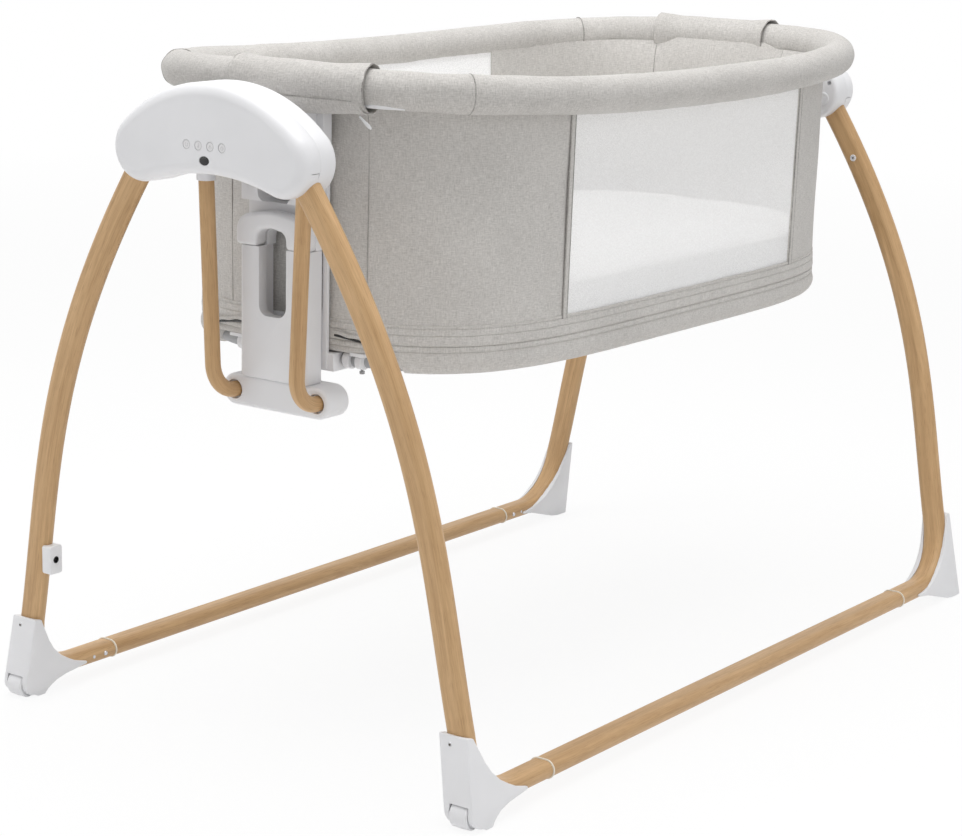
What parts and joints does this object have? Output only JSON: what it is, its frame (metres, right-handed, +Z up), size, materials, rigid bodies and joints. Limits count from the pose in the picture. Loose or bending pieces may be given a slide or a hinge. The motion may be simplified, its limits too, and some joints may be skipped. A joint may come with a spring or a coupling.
{
  "type": "swinging crib",
  "caption": "Swinging baby crib: a padded fabric basket with net windows and a mattress, hung between two arched tube stands, with a motor housing, lift-off basket and rollers.",
  "frame": {"origin": "on the floor, under the middle of the crib's bounding box", "axes": "X across the crib, Y along it with the motor housing and the controls at -Y, Z up"},
  "size_m": [0.678, 1.1444, 0.7489],
  "materials": {
    "tube_film": "oak-look film on steel tube, satin",
    "white_plastic": "fine satin",
    "cream_plastic": "satin",
    "black_plastic": "gloss",
    "bush_plastic": "smooth natural acetal",
    "bright_steel": "bright",
    "grey_coating": "grey powder coating",
    "grey_fabric": "light grey melange cloth",
    "white_fabric": "white quilted cotton",
    "net": "fine white net",
    "board": "green solder mask",
    "winding": "enamelled copper wire",
    "fibre_board": "raw hardboard"
  },
  "bodies": {
    "stand": {"front_left_leg": "tube_film", "front_left_foot": "white_plastic", "front_left_ring": "cream_plastic", "front_right_leg": "tube_film", "front_right_foot": "white_plastic", "front_right_ring": "cream_plastic", "front_bush": "bush_plastic", "rear_left_leg": "tube_film", "rear_left_foot": "white_plastic", "rear_left_ring": "cream_plastic", "rear_right_leg": "tube_film", "rear_right_foot": "white_plastic", "rear_right_ring": "cream_plastic", "rear_bush": "bush_plastic", "left_rail": "tube_film", "right_rail": "tube_film", "motor_housing_face": "white_plastic", "motor_housing_back": "white_plastic", "rear_housing_face": "white_plastic", "rear_housing_back": "white_plastic", "power_inlet": "white_plastic", "receiver_window": "black_plastic", "inlet_jack": "black_plastic", "loudspeaker": "black_plastic", "circuit_board": "board", "drive_coil": "winding"},
    "front_left_snap": {"front_left_snap": "bright_steel"},
    "swing": {"front_left_hanger": "tube_film", "front_right_hanger": "tube_film", "front_shaft": "bright_steel", "front_yoke": "white_plastic", "front_crossbar": "white_plastic", "front_column": "white_plastic", "rear_left_hanger": "tube_film", "rear_right_hanger": "tube_film", "rear_shaft": "bright_steel", "rear_yoke": "white_plastic", "rear_crossbar": "white_plastic", "rear_column": "white_plastic", "drive_magnet": "bright_steel"},
    "front_right_snap": {"front_right_snap": "bright_steel"},
    "basket": {"front_carrier": "white_plastic", "rear_carrier": "white_plastic", "left_net": "net", "right_net": "net", "rim": "grey_fabric", "basket_shell": "grey_fabric", "bottom_tube": "grey_coating", "base_board": "fibre_board", "mattress": "white_fabric"},
    "front_handle": {"front_handle": "white_plastic"},
    "rear_left_snap": {"rear_left_snap": "bright_steel"},
    "rear_right_snap": {"rear_right_snap": "bright_steel"},
    "rear_handle": {"rear_handle": "white_plastic"},
    "left_roller": {"left_roller": "white_plastic"},
    "right_roller": {"right_roller": "white_plastic"},
    "control_button_1": {"control_button_1": "white_plastic"},
    "control_button_2": {"control_button_2": "white_plastic"},
    "control_button_3": {"control_button_3": "white_plastic"},
    "control_button_4": {"control_button_4": "white_plastic"}
  },
  "joints": [
    {"name": "swing_hinge", "type": "hinge", "parent": "stand", "child": "swing", "pos_m": [0, 0, 0.702], "axis": [0, 1, 0], "range_deg": [-12, 12]},
    {"name": "basket_lift", "type": "slide", "parent": "swing", "child": "basket", "axis": [0, 0, 1], "range_m": [0, 0.1]},
    {"name": "front_handle_lift", "type": "slide", "parent": "basket", "child": "front_handle", "axis": [0, 0, 1], "range_m": [0, 0.006], "stiffness_N_per_m": 250, "springref_m": -0.004},
    {"name": "rear_handle_lift", "type": "slide", "parent": "basket", "child": "rear_handle", "axis": [0, 0, 1], "range_m": [0, 0.006], "stiffness_N_per_m": 250, "springref_m": -0.004},
    {"name": "left_roller_spin", "type": "hinge", "parent": "stand", "child": "left_roller", "pos_m": [-0.31879, -0.5345, 0.0155], "axis": [1, 0, 0], "continuous": true},
    {"name": "right_roller_spin", "type": "hinge", "parent": "stand", "child": "right_roller", "pos_m": [0.31879, -0.5345, 0.0155], "axis": [1, 0, 0], "continuous": true},
    {"name": "front_left_snap_press", "type": "slide", "parent": "stand", "child": "front_left_snap", "axis": [-1, 0, 0], "range_m": [0, 0.0035], "stiffness_N_per_m": 400, "springref_m": -0.002},
    {"name": "front_right_snap_press", "type": "slide", "parent": "stand", "child": "front_right_snap", "axis": [1, 0, 0], "range_m": [0, 0.0035], "stiffness_N_per_m": 400, "springref_m": -0.002},
    {"name": "rear_left_snap_press", "type": "slide", "parent": "stand", "child": "rear_left_snap", "axis": [-1, 0, 0], "range_m": [0, 0.0035], "stiffness_N_per_m": 400, "springref_m": -0.002},
    {"name": "rear_right_snap_press", "type": "slide", "parent": "stand", "child": "rear_right_snap", "axis": [1, 0, 0], "range_m": [0, 0.0035], "stiffness_N_per_m": 400, "springref_m": -0.002},
    {"name": "control_button_1_press", "type": "slide", "parent": "stand", "child": "control_button_1", "axis": [0, 1, 0], "range_m": [0, 0.001], "stiffness_N_per_m": 400, "springref_m": -0.001},
    {"name": "control_button_2_press", "type": "slide", "parent": "stand", "child": "control_button_2", "axis": [0, 1, 0], "range_m": [0, 0.001], "stiffness_N_per_m": 400, "springref_m": -0.001},
    {"name": "control_button_3_press", "type": "slide", "parent": "stand", "child": "control_button_3", "axis": [0, 1, 0], "range_m": [0, 0.001], "stiffness_N_per_m": 400, "springref_m": -0.001},
    {"name": "control_button_4_press", "type": "slide", "parent": "stand", "child": "control_button_4", "axis": [0, 1, 0], "range_m": [0, 0.001], "stiffness_N_per_m": 400, "springref_m": -0.001}
  ]
}
